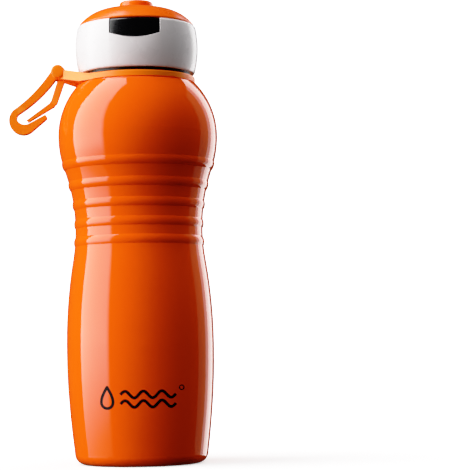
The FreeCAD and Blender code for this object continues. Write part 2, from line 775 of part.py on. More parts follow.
def valve_post():
    """Post on the deck that plugs the drinking hole while the spout is down."""
    body = turned_body("valve_post", [
        ("0", "deck_top"),
        ("tube_inner - 0.1", "deck_top"),
        ("tube_inner - 0.1", "deck_top + 1.2"),
        ("post_radius", "deck_top + 1.2"),
        ("post_radius", "spout_top - 4.4"),
        ("post_radius + 0.6", "spout_top - 4.4"),
        ("post_radius + 0.6", "spout_top - 4.05"),
        ("post_radius", "spout_top - 4.05"),
        ("post_radius", "spout_top - 2.85"),
        ("post_radius + 0.6", "spout_top - 2.85"),
        ("post_radius + 0.6", "spout_top - 1.4"),
        ("post_radius + 0.2", "spout_top - 1"),
        ("0", "spout_top - 1"),
    ])
    before = body.Shape.Volume
    holes = new_sketch(body, "flow_holes", "XY_Plane", "deck_top - 1")
    for number in range(FLOW_HOLES):
        turned = f"{360 / FLOW_HOLES * number} * 1deg"
        circle(holes, f"4 * cos( {turned} )", f"4 * sin( {turned} )", "1.2")
    doc.recompute()
    thicken(body, "flow_hole_cut", holes, "5", kind="Pocket", reverse=True)
    must_cut(body, before)
    return body


def coil_spring(name, coil_radius, wire_radius, pitch, height):
    """Compression spring wound round its own Z axis from Z = 0."""
    path = doc.addObject("Part::Helix", f"{name}_path")
    path.Radius = coil_radius
    path.Pitch = pitch
    path.Height = height
    wire = doc.addObject("Part::Circle", f"{name}_wire")
    wire.Radius = wire_radius
    wire.Placement = FreeCAD.Placement(V(coil_radius, 0, 0), FreeCAD.Rotation(V(1, 0, 0), 90))
    spring = doc.addObject("Part::Sweep", name)
    spring.Label = name
    spring.Sections = [wire]
    spring.Spine = (path, ["Edge1"])
    spring.Solid = True
    spring.Frenet = True
    return spring


def spout_spring():
    """Spring inside the spout that lifts it when the latch lets go."""
    spring = coil_spring("spout_spring", 4.6, 0.4, 2.1, 14.6)
    spring.Placement.Base = V(0, 0, value("deck_top + 1.2 + 0.5"))
    return spring


def button_spring():
    """Spring behind the latch plate that pushes the button out again."""
    length = value("collar_inner - latch_radius - 2.0")
    spring = coil_spring("button_spring", 1.5, 0.3, 1.4, length)
    start = V(0, value("latch_radius + 0.7"), value("latch_bottom + latch_thick / 2"))
    spring.Placement = FreeCAD.Placement(start, FreeCAD.Rotation(V(1, 0, 0), -90))
    return spring


def latch_slide():
    """Plate round the guide tube: the button pushes it, and its tooth lets the spout's flange go."""
    body = new_body("latch_slide")
    plan = new_sketch(body, "latch_plan", "XY_Plane", "latch_bottom")
    front = "0 - sqrt( button_inner ^ 2 - stem_half ^ 2 )"
    outline(plan, [
        ("0 - stem_half", front),
        ("stem_half", front, "0 - button_inner"),
        ("stem_half", "0 - sqrt( latch_radius ^ 2 - stem_half ^ 2 )"),
        ("latch_radius", "0", "0 - latch_radius"),
        ("0", "latch_radius", "0 - latch_radius"),
        ("0 - latch_radius", "0", "0 - latch_radius"),
        ("0 - stem_half", "0 - sqrt( latch_radius ^ 2 - stem_half ^ 2 )", "0 - latch_radius"),
    ])
    opening = "( tube_outer + 0.3 + press_travel / 2 )"
    middle = "( 0 - press_travel / 2 )"
    root = f"{middle} + sqrt( {opening} ^ 2 - tooth_half ^ 2 )"
    outline(plan, [
        ("0 - tooth_half", root),
        (f"0 - {opening}", middle, f"0 - {opening}"),
        ("0", f"{middle} - {opening}", f"0 - {opening}"),
        (opening, middle, f"0 - {opening}"),
        ("tooth_half", root, f"0 - {opening}"),
        ("tooth_half", "flange_radius + 0.2"),
        ("0 - tooth_half", "flange_radius + 0.2"),
    ])
    doc.recompute()
    thicken(body, "latch_plate", plan, "latch_thick")
    return body


def latch_guide():
    """Low wall on the deck that the latch plate slides on, open beside the air valve."""
    body = turned_body("latch_guide", [
        ("guide_inner", "deck_top"),
        ("guide_outer", "deck_top"),
        ("guide_outer", "latch_bottom - running"),
        ("guide_inner", "latch_bottom - running"),
    ])
    before = body.Shape.Volume
    gap = new_sketch(body, "valve_side", "XY_Plane", "deck_top - 1")
    outline(gap, [
        ("guide_inner - 3", "0 - vent_radius - 0.6"),
        ("guide_outer + 1", "0 - vent_radius - 0.6"),
        ("guide_outer + 1", "vent_radius + 0.6"),
        ("guide_inner - 3", "vent_radius + 0.6"),
    ])
    doc.recompute()
    thicken(body, "valve_gap", gap, "8", kind="Pocket", reverse=True)
    must_cut(body, before)
    return body


def vent_valve():
    """Rubber valve in the deck that lets air in while water runs out."""
    valve = turned_body("vent_valve", [
        ("0", "deck_bottom - 1.4"),
        ("vent_radius * 0.75", "deck_bottom - 0.02"),
        ("vent_radius * 0.5", "deck_bottom - 0.02"),
        ("vent_radius * 0.5", "deck_top + 0.02"),
        ("vent_radius", "deck_top + 0.02"),
        ("vent_radius * 0.8", "deck_top + 0.9"),
        ("0", "deck_top + 0.9"),
    ])
    bind(valve, "Placement.Base.x", "vent_reach")
    return valve


PIECES = [
    bottle_shell(), base_plate(), strap_ring(), hinge_pin(), carry_hook(), hook_gate(),
    cap_core(), cap_collar(), cap_dome(), cap_gasket(), release_button(), latch_slide(),
    latch_guide(), button_spring(), spout(),
    ring_seal("spout_o_ring", "flange_radius - o_ring", "spout_bottom + 1.15"),
    spout_spring(), valve_post(), ring_seal("post_seal", "post_radius + o_ring", "spout_top - 3.45"),
    vent_valve(),
]


def check_and_write():
    """Stops on any failed feature or bad solid, then writes one STEP file for each piece."""
    doc.recompute()
    for item in doc.Objects:
        if "Invalid" in item.State or "Error" in item.State:
            raise RuntimeError(f"{item.Name} failed: {item.State}")
    for piece in PIECES:
        if piece.Shape.isNull() or not piece.Shape.isValid():
            raise RuntimeError(f"{piece.Label} has no valid shape")
    os.makedirs("parts", exist_ok=True)
    for piece in PIECES:
        piece.Shape.exportStep(f"parts/{piece.Label}.step")
        box = piece.Shape.BoundBox
        print(f"{piece.Label:16s} solids {len(piece.Shape.Solids)} volume {piece.Shape.Volume:9.1f}"
              f"  z {box.ZMin:7.2f} to {box.ZMax:7.2f}")


check_and_write()
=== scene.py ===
"""Looks of a sports water bottle: materials, fine pieces, studio and camera round the CAD frame.

Metres, in the CAD's own frame: +Z up, the release button faces -Y and the carry hook hangs on
the -X side. Lengths written in millimetres are multiplied by MM.
"""
import math

import bmesh
import bpy
from mathutils import Matrix, Vector
from mathutils.bvhtree import BVHTree


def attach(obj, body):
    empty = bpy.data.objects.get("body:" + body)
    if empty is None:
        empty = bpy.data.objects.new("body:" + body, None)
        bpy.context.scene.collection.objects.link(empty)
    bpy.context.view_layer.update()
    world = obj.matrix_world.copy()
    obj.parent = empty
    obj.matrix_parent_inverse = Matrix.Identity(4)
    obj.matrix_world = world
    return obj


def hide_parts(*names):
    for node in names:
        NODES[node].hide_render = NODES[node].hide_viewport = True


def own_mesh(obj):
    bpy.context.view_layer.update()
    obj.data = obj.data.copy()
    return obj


MM = 0.001

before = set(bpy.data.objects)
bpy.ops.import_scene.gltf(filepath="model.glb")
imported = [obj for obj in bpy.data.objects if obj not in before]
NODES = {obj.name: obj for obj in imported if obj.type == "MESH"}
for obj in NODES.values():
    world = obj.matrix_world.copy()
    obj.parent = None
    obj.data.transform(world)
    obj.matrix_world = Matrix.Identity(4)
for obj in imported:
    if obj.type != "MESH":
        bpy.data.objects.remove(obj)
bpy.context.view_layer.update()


# ---- small helpers ----------------------------------------------------------------------------

def new_material(name, **settings):
    """A material with one Principled shader; settings are its sockets' constants."""
    material = bpy.data.materials.new(name)
    material.use_nodes = True
    shader = material.node_tree.nodes["Principled BSDF"]
    for socket, value in settings.items():
        shader.inputs[socket.replace("_", " ")].default_value = value
    return material, material.node_tree, shader


def node(tree, kind, **values):
    """Adds a shader node; values set its properties, or its inputs where it has such a socket."""
    made = tree.nodes.new(kind)
    for name, value in values.items():
        if hasattr(made, name):
            setattr(made, name, value)
        else:
            made.inputs[name.replace("_", " ")].default_value = value
    return made


def paint(piece, material):
    """Gives a piece one material."""
    piece.data.materials.clear()
    piece.data.materials.append(material)


def finish_shading(mesh, sharp_degrees=32):
    """Smooth shading that keeps the edges sharper than an angle."""
    mesh.shade_smooth()
    mesh.set_sharp_from_angle(angle=math.radians(sharp_degrees))


def add_piece(name, mesh, body, material, replaced=()):
    """Links a mesh as a piece of the bottle that rides on a CAD body."""
    piece = bpy.data.objects.new(name, mesh)
    bpy.context.scene.collection.objects.link(piece)
    paint(piece, material)
    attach(piece, body)
    if replaced:
        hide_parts(*replaced)
    return piece


# ---- materials --------------------------------------------------------------------------------

def rgb(red, green, blue):
    """A linear colour from its everyday 0 to 255 values."""
    def linear(level):
        level /= 255
        return level / 12.92 if level <= 0.04045 else ((level + 0.055) / 1.055) ** 2.4

    return (linear(red), linear(green), linear(blue), 1.0)


def noise_range(tree, where, scale, low, high, detail=3.0):
    """Noise over the object, spread between two values."""
    noise = node(tree, "ShaderNodeTexNoise", Scale=scale, Detail=detail)
    spread = node(tree, "ShaderNodeMapRange", From_Min=0.3, From_Max=0.7, To_Min=low, To_Max=high)
    tree.links.new(where, noise.inputs["Vector"])
    tree.links.new(noise.outputs["Fac"], spread.inputs["Value"])
    return spread.outputs["Result"]


def toned(tree, where, color, scale, change):
    """A colour whose lightness drifts a little over the surface."""
    tone = node(tree, "ShaderNodeHueSaturation", Color=color)
    tree.links.new(noise_range(tree, where, scale, 1 - change, 1 + change), tone.inputs["Value"])
    return tone.outputs["Color"]


def grain(tree, shader, where, scale, height, coated):
    """Fine relief of a moulded or sprayed surface, on the base and on the clear coat."""
    noise = node(tree, "ShaderNodeTexNoise", Scale=scale, Detail=2.0)
    bump = node(tree, "ShaderNodeBump", Strength=1.0, Distance=height)
    tree.links.new(where, noise.inputs["Vector"])
    tree.links.new(noise.outputs["Fac"], bump.inputs["Height"])
    tree.links.new(bump.outputs["Normal"], shader.inputs["Normal"])
    if coated:
        tree.links.new(bump.outputs["Normal"], shader.inputs["Coat Normal"])


def painted_edge_highlight(tree, color, light, amount):
    """Lightens the outer, convex edges: a painted highlight where rounded edges would catch the
    light.
    """
    shape = node(tree, "ShaderNodeNewGeometry")
    edge = node(tree, "ShaderNodeMapRange", From_Min=0.52, From_Max=0.62, To_Min=0.0, To_Max=amount)
    mix = node(tree, "ShaderNodeMix", data_type="RGBA")
    mix.inputs["B"].default_value = light
    tree.links.new(shape.outputs["Pointiness"], edge.inputs["Value"])
    tree.links.new(edge.outputs["Result"], mix.inputs["Factor"])
    tree.links.new(color, mix.inputs["A"])
    return mix.outputs["Result"]


def moulded(name, color, rough, grain_size, height, change=0.03, edge=None, coat=0.0, **settings):
    """Moulded plastic, rubber or metal: drifting tone, uneven gloss, fine grain, painted highlights
    on edges.
    rough is the lowest and highest roughness; edge is the colour of the painted edge highlight."""
    material, tree, shader = new_material(name, Coat_Weight=coat, **settings)
    where = node(tree, "ShaderNodeTexCoord").outputs["Object"]
    shade = toned(tree, where, color, 45.0, change)
    # lighter convex edges: a painted highlight
    if edge:
        shade = painted_edge_highlight(tree, shade, edge, 0.6)
    tree.links.new(shade, shader.inputs["Base Color"])
    tree.links.new(noise_range(tree, where, 120.0, *rough), shader.inputs["Roughness"])
    grain(tree, shader, where, 1000 / grain_size, height * MM, coat > 0)
    return material


BARE_NECK = 178.2 * MM
FACES_AXIS = -0.001


def steel_mask(tree, where, normal):
    """1 on the bare neck above the shoulder and on every face that looks at the axis."""
    split = node(tree, "ShaderNodeSeparateXYZ")
    above = node(tree, "ShaderNodeMath", operation="GREATER_THAN")
    above.inputs[1].default_value = BARE_NECK
    flat = node(tree, "ShaderNodeVectorMath", operation="MULTIPLY")
    flat.inputs[1].default_value = (1, 1, 0)
    outward = node(tree, "ShaderNodeVectorMath", operation="DOT_PRODUCT")
    inside = node(tree, "ShaderNodeMath", operation="LESS_THAN")
    inside.inputs[1].default_value = FACES_AXIS
    either = node(tree, "ShaderNodeMath", operation="MAXIMUM")
    tree.links.new(where, split.inputs[0])
    tree.links.new(split.outputs["Z"], above.inputs[0])
    tree.links.new(normal, flat.inputs[0])
    tree.links.new(flat.outputs[0], outward.inputs[0])
    tree.links.new(where, outward.inputs[1])
    tree.links.new(outward.outputs["Value"], inside.inputs[0])
    tree.links.new(above.outputs[0], either.inputs[0])
    tree.links.new(inside.outputs[0], either.inputs[1])
    return either.outputs[0]


def blend_value(tree, factor, low, high):
    """A value that goes from low to high with a factor; either may be a socket."""
    mix = node(tree, "ShaderNodeMix", data_type="FLOAT")
    tree.links.new(factor, mix.inputs["Factor"])
    for end, socket in ((low, mix.inputs["A"]), (high, mix.inputs["B"])):
        if isinstance(end, float):
            socket.default_value = end
        else:
            tree.links.new(end, socket)
    return mix.outputs["Result"]


PAINT_ORANGE = (0.95, 0.10, 0.006, 1)
SCUFF_ORANGE = (0.95, 0.17, 0.03, 1)
STEEL_GREY = (0.62, 0.61, 0.60, 1)
SCUFF_HEIGHT = 2.2 * MM
BRUSH_MARKS = (60, 60, 2600)
DRAWING_MARKS = (90, 90, 2400)


def painted_steel():
    """Sprayed orange lacquer with a clear coat, and brushed steel where it was masked off."""
    material, tree, shader = new_material(
        "orange_paint_look", Specular_IOR_Level=0.0, Coat_Roughness=0.03, Coat_IOR=1.5
    )
    places = node(tree, "ShaderNodeTexCoord")
    where = places.outputs["Object"]
    bare = steel_mask(tree, where, places.outputs["Normal"])
    color = toned(tree, where, PAINT_ORANGE, 30.0, 0.025)
    scuffs = node(tree, "ShaderNodeMix", data_type="RGBA")
    scuffs.inputs["B"].default_value = SCUFF_ORANGE
    foot = node(tree, "ShaderNodeSeparateXYZ")
    low = node(tree, "ShaderNodeMapRange", From_Min=SCUFF_HEIGHT, From_Max=0.0, To_Min=0.0,
               To_Max=1.0)
    patches = node(tree, "ShaderNodeMath", operation="MULTIPLY")
    tree.links.new(where, foot.inputs[0])
    tree.links.new(foot.outputs["Z"], low.inputs["Value"])
    tree.links.new(low.outputs["Result"], patches.inputs[0])
    tree.links.new(noise_range(tree, where, 420.0, 0.0, 0.8, 6.0), patches.inputs[1])
    tree.links.new(patches.outputs[0], scuffs.inputs["Factor"])
    tree.links.new(color, scuffs.inputs["A"])
    steel = node(tree, "ShaderNodeMix", data_type="RGBA")
    steel.inputs["B"].default_value = STEEL_GREY
    tree.links.new(bare, steel.inputs["Factor"])
    tree.links.new(scuffs.outputs["Result"], steel.inputs["A"])
    tree.links.new(steel.outputs["Result"], shader.inputs["Base Color"])
    tree.links.new(bare, shader.inputs["Metallic"])
    paint_rough = noise_range(tree, where, 60.0, 0.45, 0.55)
    brushed = node(tree, "ShaderNodeMapping")
    brushed.inputs["Scale"].default_value = BRUSH_MARKS
    tree.links.new(where, brushed.inputs["Vector"])
    steel_rough = noise_range(tree, brushed.outputs["Vector"], 1.0, 0.22, 0.36)
    tree.links.new(blend_value(tree, bare, paint_rough, steel_rough), shader.inputs["Roughness"])
    tree.links.new(blend_value(tree, bare, 1.0, 0.0), shader.inputs["Coat Weight"])
    grain(tree, shader, where, 650.0, 0.0012 * MM, True)
    return material


def steel(name, color, rough_low, rough_high):
    """Bare or spring steel with fine drawing marks round the axis."""
    material, tree, shader = new_material(name, Metallic=1.0)
    where = node(tree, "ShaderNodeTexCoord").outputs["Object"]
    tree.links.new(toned(tree, where, color, 80.0, 0.05), shader.inputs["Base Color"])
    lines = node(tree, "ShaderNodeMapping")
    lines.inputs["Scale"].default_value = DRAWING_MARKS
    tree.links.new(where, lines.inputs["Vector"])
    rough = noise_range(tree, lines.outputs["Vector"], 1.0, rough_low, rough_high)
    tree.links.new(rough, shader.inputs["Roughness"])
    grain(tree, shader, lines.outputs["Vector"], 1.0, 0.002 * MM, False)
    return material


MOULDED_ORANGE = (0.97, 0.125, 0.006, 1)
# The strap pieces' orange, brighter and yellower than the cap's moulded orange, is a painted-lit
# copy of the same plastic for the stronger light on the hook.
STRAP_PAINTED_LIT_ORANGE = (1.0, 0.2, 0.014, 1)
# lighter orange of the strap pieces' convex edges: a painted highlight
STRAP_EDGE_HIGHLIGHT = (1.0, 0.3, 0.05, 1)
SPRING_GREY = (0.66, 0.65, 0.64, 1)
WHITE = rgb(226, 222, 223)

cap_orange = moulded("orange_plastic_look", MOULDED_ORANGE, (0.26, 0.34), 0.9, 0.0015,
                     coat=0.25, Coat_Roughness=0.12, Specular_IOR_Level=0.35)
strap_painted_lit_orange = moulded("strap_painted_lit_orange_look", STRAP_PAINTED_LIT_ORANGE, (0.34, 0.44), 0.6, 0.003,
                       edge=STRAP_EDGE_HIGHLIGHT, Specular_IOR_Level=0.35)
LOOKS = {
    "orange_paint": painted_steel(),
    "orange_plastic": cap_orange,
    "white_plastic": moulded("white_plastic_look", WHITE, (0.24, 0.32), 0.8, 0.0015, 0.012,
                             coat=0.2, Coat_Roughness=0.1, Specular_IOR_Level=0.4),
    # the black button's lighter grey edge colour is a painted highlight on its convex edges
    "black_gloss": moulded("black_gloss_look", rgb(14, 14, 17), (0.2, 0.3), 0.5, 0.002, 0.1,
                           edge=rgb(70, 70, 76), coat=0.3, Coat_Roughness=0.15),
    "black_plastic": moulded("black_plastic_look", rgb(17, 17, 18), (0.38, 0.5), 0.4, 0.004, 0.1),
    "clear_grey_plastic": moulded("clear_grey_look", rgb(200, 204, 206), (0.18, 0.28), 0.7, 0.002,
                                  Transmission_Weight=0.35, IOR=1.49),
    "seal_rubber": moulded("seal_rubber_look", rgb(205, 203, 200), (0.55, 0.7), 0.35, 0.006, 0.05),
    "spring_steel": steel("spring_steel_look", SPRING_GREY, 0.16, 0.26),
    "bare_steel": steel("bare_steel_look", STEEL_GREY, 0.24, 0.38),
}
PRINT_BLACK = moulded("print_black_look", rgb(22, 14, 12), (0.5, 0.62), 0.25, 0.004, 0.15,
                      Specular_IOR_Level=0.3)
STRAP_NODES = ("strap_ring", "carry_hook", "hook_gate")

# The strap pieces take the painted-lit copy of the orange plastic in place of their slot's look.
for name, piece in NODES.items():
    slot = piece.data.materials[0].name
    paint(piece, strap_painted_lit_orange if name in STRAP_NODES else LOOKS[slot])


# ---- pieces with rounded edges ----------------------------------------------------------------

MERGE_MM = 0.002
FLAT_DEGREES = 0.6
SHARP_DEGREES = 35


def rounded_copy(name, source, width, body, material):
    """Stands for a CAD node with the same faces, its sharp edges rounded by a width in mm."""
    shape = bmesh.new()
    shape.from_mesh(NODES[source].data)
    bmesh.ops.remove_doubles(shape, verts=shape.verts, dist=MERGE_MM * MM)
    bmesh.ops.dissolve_limit(shape, angle_limit=math.radians(FLAT_DEGREES), verts=shape.verts,
                             edges=shape.edges, use_dissolve_boundaries=False, delimit=set())
    edges = [edge for edge in shape.edges
             if edge.is_manifold and edge.calc_face_angle() > math.radians(SHARP_DEGREES)]
    bmesh.ops.bevel(shape, geom=edges, offset=width * MM, offset_type="OFFSET", segments=3,
                    profile=0.5, affect="EDGES", clamp_overlap=True, miter_outer="ARC")
    bmesh.ops.triangulate(shape, faces=[face for face in shape.faces if len(face.verts) > 4])
    mesh = bpy.data.meshes.new(name)
    shape.to_mesh(mesh)
    shape.free()
    finish_shading(mesh, 30)
    piece = add_piece(name, mesh, body, material, [source])
    weighted = piece.modifiers.new("flat_faces", "WEIGHTED_NORMAL")
    weighted.keep_sharp = True


PIN_X, PIN_Z = -37.0, 183.7
EAR_FACE = 5.1
# (radius, height above the ear) from the boss's foot to the middle of its top
BOSS_PROFILE = ((3.15, -0.3), (3.15, 1.7), (3.05, 2.0), (2.8, 2.2), (1.9, 2.3), (0.9, 2.34))
BOSS_STEPS = 48


def hinge_bosses():
    """Round bosses on the outer faces of the two hinge ears."""
    shape = bmesh.new()
    turns = [2 * math.pi * step / BOSS_STEPS for step in range(BOSS_STEPS)]
    for side in (-1, 1):
        rings = [[shape.verts.new(((PIN_X + radius * math.cos(turn)) * MM,
                                   side * (EAR_FACE + height) * MM,
                                   (PIN_Z + radius * math.sin(turn)) * MM)) for turn in turns]
                 for radius, height in BOSS_PROFILE]
        for ring, following in zip(rings, rings[1:]):
            for step in range(BOSS_STEPS):
                after = (step + 1) % BOSS_STEPS
                shape.faces.new((ring[step], ring[after], following[after], following[step]))
        shape.faces.new(rings[0])
        shape.faces.new(rings[-1])
    bmesh.ops.recalc_face_normals(shape, faces=shape.faces)
    mesh = bpy.data.meshes.new("hinge_bosses")
    shape.to_mesh(mesh)
    shape.free()
    finish_shading(mesh, 45)
    add_piece("hinge_bosses", mesh, "strap", strap_painted_lit_orange)


def compressed_coil(name, source):
    """Copy of a CAD spring, riding on the cap in its place."""
    piece = add_piece(name, NODES[source].data.copy(), "cap",
                      LOOKS["spring_steel"], [source])
    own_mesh(piece)


compressed_coil("button_coil", "button_spring")
compressed_coil("spout_coil", "spout_spring")
rounded_copy("strap_band", "strap_ring", 0.4, "strap", strap_painted_lit_orange)
rounded_copy("hook_body", "carry_hook", 0.55, "hook", strap_painted_lit_orange)
rounded_copy("hook_spring_gate", "hook_gate", 0.4, "gate", strap_painted_lit_orange)
rounded_copy("button_cap", "release_button", 0.3, "button", LOOKS["black_gloss"])
hinge_bosses()


# ---- white collar -----------------------------------------------------------------------------

COLLAR_BOTTOM = 182.6
COLLAR_TOP = 205.3
FOOT_FLAT = 1.6
FOOT_EDGE = 26.8
FOOT_CURVE = 1.2
FOOT_ROUND_TOP = COLLAR_BOTTOM + 0.6
COLLAR_LIP = 26.75
LIP_CURVE = 1.7
LIP_START = COLLAR_TOP - 1.5
LIP_INNER_ROUND = 0.1
BELLY = 28.9
BELLY_HEIGHT = 195.0
BELLY_CURVE = 45.0
BORE = 25.0
UPPER_BORE = 25.4
STEP_LOW, STEP_HIGH = 195.7, 196.3
NOTCH_HALF = 11.6
NOTCH_SIDE = 198.2
NOTCH_BOTTOM = 195.9
EDGE = 0.3
EDGE_GAPS = (0.0, 0.04, 0.12, 0.21, EDGE)
ABOVE_NOTCH = NOTCH_SIDE + 0.05
SHARED_TOP = 195.2
DENT_DEPTH = 0.55
DENT_LOW = 187.5
DENT_HALF = NOTCH_HALF + 0.4
# points on each part of a section, from the foot up
FOOT_POINTS, LOW_POINTS, MIDDLE_POINTS, UPPER_POINTS, LIP_POINTS = 4, 14, 6, 8, 6
NOTCH_COLUMNS = 16
LAST_STRAIGHT = 12.2
FIRST_RADIAL = 12.6
RADIAL_COLUMNS = 150
OUTSIDE_NOTCH = 100.0


def smooth_step(low, high, value):
    """0 below low, 1 above high, with a soft change between them."""
    part = min(max((value - low) / (high - low), 0.0), 1.0)
    return part * part * (3 - 2 * part)


def notch_floor(across):
    """Height of the notch's curved lower edge."""
    rise = NOTCH_SIDE - NOTCH_BOTTOM
    curve = (NOTCH_HALF ** 2 + rise ** 2) / (2 * rise)
    return NOTCH_BOTTOM + curve - math.sqrt(curve ** 2 - across ** 2)


def collar_outer(across, height):
    """Outer radius of the collar: a barrel, with a soft thumb dent under the button."""
    barrel = BELLY - BELLY_CURVE + math.sqrt(BELLY_CURVE ** 2 - (height - BELLY_HEIGHT) ** 2)
    if abs(across) > NOTCH_HALF:
        return barrel
    sideways = (1 - (across / DENT_HALF) ** 2) ** 2
    return barrel - DENT_DEPTH * sideways * smooth_step(DENT_LOW, NOTCH_SIDE, height)


def collar_inner(height):
    """Inner radius of the collar, a little wider above its step."""
    return BORE + (UPPER_BORE - BORE) * smooth_step(STEP_LOW, STEP_HIGH, height)


def arc_points(start, end, radius, count):
    """Points on an arc between two (radius, height) places that bulges outwards and up."""
    start, end = Vector(start), Vector(end)
    chord = end - start
    left = Vector((-chord.y, chord.x)).normalized()
    back = math.sqrt(max(radius ** 2 - (chord.length / 2) ** 2, 0))
    centre = (start + end) / 2 + left * back
    first = math.atan2(start.y - centre.y, start.x - centre.x)
    last = math.atan2(end.y - centre.y, end.x - centre.x)
    steps = [first + (last - first) * step / (count - 1) for step in range(count)]
    return [(centre.x + radius * math.cos(turn), centre.y + radius * math.sin(turn))
            for turn in steps]


def span(low, high, count):
    """Evenly spaced values above low, up to and with high."""
    return [low + (high - low) * step / count for step in range(1, count + 1)]


def collar_section(across, notched, inset):
    """Closed loop of (radius, height) through the collar's wall. Every loop has as many points,
    so that neighbouring loops join. A notched one ends at the notch's lower edge, and repeats
    one point for those that it doesn't need."""
    floor_height = notch_floor(across) if notched else NOTCH_SIDE
    middle_top = floor_height - EDGE
    heights = span(FOOT_ROUND_TOP, SHARED_TOP, LOW_POINTS)
    heights += span(SHARED_TOP, middle_top, MIDDLE_POINTS)
    loop = [(BORE, COLLAR_BOTTOM), (BORE + FOOT_FLAT, COLLAR_BOTTOM)]
    loop += arc_points((FOOT_EDGE, COLLAR_BOTTOM),
                       (collar_outer(across, FOOT_ROUND_TOP), FOOT_ROUND_TOP),
                       FOOT_CURVE, FOOT_POINTS)
    loop += [(collar_outer(across, height), height) for height in heights]
    if notched:
        edge = collar_outer(across, middle_top)
        loop += [loop[-1]] * UPPER_POINTS
        loop += [(edge - EDGE + EDGE * math.cos(turn), middle_top + EDGE * math.sin(turn))
                 for turn in span(0, math.pi / 2, LIP_POINTS)]
        top = floor_height
    else:
        loop += [(collar_outer(across, height) - inset, height)
                 for height in [ABOVE_NOTCH, *span(ABOVE_NOTCH, LIP_START, UPPER_POINTS - 1)]]
        loop += arc_points((collar_outer(across, LIP_START) - inset, LIP_START),
                           (COLLAR_LIP, COLLAR_TOP), LIP_CURVE, LIP_POINTS + 1)[1:]
        top = COLLAR_TOP
    loop.append((collar_inner(top) + LIP_INNER_ROUND, top))
    loop += [(collar_inner(height), height)
             for height in (top, min(top, NOTCH_SIDE), min(top, STEP_HIGH), STEP_LOW)]
    return loop


def collar_columns():
    """(across, angle, notched, inset): columns at a constant x in front, radial ones elsewhere.
    The inset rounds the notch's two upright edges."""
    corner = [(NOTCH_HALF + gap, EDGE - math.sqrt(EDGE ** 2 - (EDGE - gap) ** 2))
              for gap in EDGE_GAPS]
    columns = [(-across, None, False, inset) for across, inset in reversed(corner)]
    columns += [(NOTCH_HALF * step / NOTCH_COLUMNS, None, True, 0.0)
                for step in range(-NOTCH_COLUMNS, NOTCH_COLUMNS + 1)]
    columns += [(across, None, False, inset) for across, inset in corner]
    columns.append((LAST_STRAIGHT, None, False, 0.0))
    start = math.asin(FIRST_RADIAL / BORE)
    for step in range(RADIAL_COLUMNS + 1):
        angle = start + (2 * math.pi - 2 * start) * step / RADIAL_COLUMNS
        columns.append((OUTSIDE_NOTCH, angle, False, 0.0))
    columns.append((-LAST_STRAIGHT, None, False, 0.0))
    return columns


def collar_skin():
    """White sleeve of the cap, as a skin over the collar's sections."""
    shape = bmesh.new()
    loops = []
    for across, angle, notched, inset in collar_columns():
        loop = []
        for radius, height in collar_section(across, notched, inset):
            if angle is None:
                place = (across, -math.sqrt(radius ** 2 - across ** 2), height)
            else:
                place = (radius * math.sin(angle), -radius * math.cos(angle), height)
            loop.append(shape.verts.new([length * MM for length in place]))
        loops.append(loop)
    for number, loop in enumerate(loops):
        following = loops[(number + 1) % len(loops)]
        for step in range(len(loop)):
            after = (step + 1) % len(loop)
            shape.faces.new((loop[step], following[step], following[after], loop[after]))
    bmesh.ops.remove_doubles(shape, verts=shape.verts, dist=2 * MERGE_MM * MM)
    bmesh.ops.recalc_face_normals(shape, faces=shape.faces)
    mesh = bpy.data.meshes.new("collar_skin")
    shape.to_mesh(mesh)
    shape.free()
    finish_shading(mesh, 40)
    add_piece("collar_skin", mesh, "cap", LOOKS["white_plastic"],
              ["cap_collar"])


collar_skin()


# ---- printed mark -----------------------------------------------------------------------------

STROKE = 1.3
FINE_STROKE = 0.5
MARK_MIDDLE = 31.5
DROP_WIDEN = 1.12
DROP_TAPER = 1.3
WAVE_ENDS = (-8.2, 16.6)
WAVE_HEIGHTS = (MARK_MIDDLE + 1.3, MARK_MIDDLE - 2.9)
WAVE_SWING = 1.5
WAVE_CRESTS = 3
PRINT_PROUD = 0.035
PRINT_SUNK = -0.05
RAY_START = -0.1


def droplet(middle, half_width, half_height, count=56):
    """Outline of a water drop with its point up, in mm as (across, up)."""
    points = []
    for step in range(count):
        turn = 2 * math.pi * step / count
        narrow = math.sin(turn / 2) ** DROP_TAPER
        points.append((middle + half_width * DROP_WIDEN * math.sin(turn) * narrow,
                       MARK_MIDDLE + half_height * math.cos(turn)))
    return points


def wave(start, end, height, swing, crests, count=90):
    """A wavy line with a whole number of crests."""
    return [(start + (end - start) * step / count,
             height + swing * math.sin(2 * math.pi * crests * step / count))
            for step in range(count + 1)]


def ring(middle, height, radius, count=28):
    """A small circle."""
    return [(middle + radius * math.cos(2 * math.pi * step / count),
             height + radius * math.sin(2 * math.pi * step / count)) for step in range(count)]


def stroke_mesh(shape, tree, path, width, closed):
    """Adds a thin printed line that follows the bottle's front, slightly sunk into the paint."""
    rows = []
    count = len(path)
    for step, (across, up) in enumerate(path):
        before = path[step - 1] if closed or step else path[0]
        after = path[(step + 1) % count] if closed or step < count - 1 else path[-1]
        way = Vector((after[0] - before[0], after[1] - before[1])).normalized()
        side = Vector((-way.y, way.x)) * width / 2
        row = []
        for sign, proud in ((1, PRINT_PROUD), (1, PRINT_SUNK),
                            (-1, PRINT_SUNK), (-1, PRINT_PROUD)):
            start = Vector(((across + sign * side.x) * MM, RAY_START, (up + sign * side.y) * MM))
            hit = tree.ray_cast(start, Vector((0, 1, 0)))[0]
            outward = Vector((hit.x, hit.y, 0)).normalized()
            row.append(shape.verts.new(hit + outward * proud * MM))
        rows.append(row)
    for step in range(count if closed else count - 1):
        row, following = rows[step], rows[(step + 1) % count]
        for corner in range(4):
            after = (corner + 1) % 4
            shape.faces.new((row[corner], row[after], following[after], following[corner]))
    if not closed:
        shape.faces.new(rows[0])
        shape.faces.new(reversed(rows[-1]))


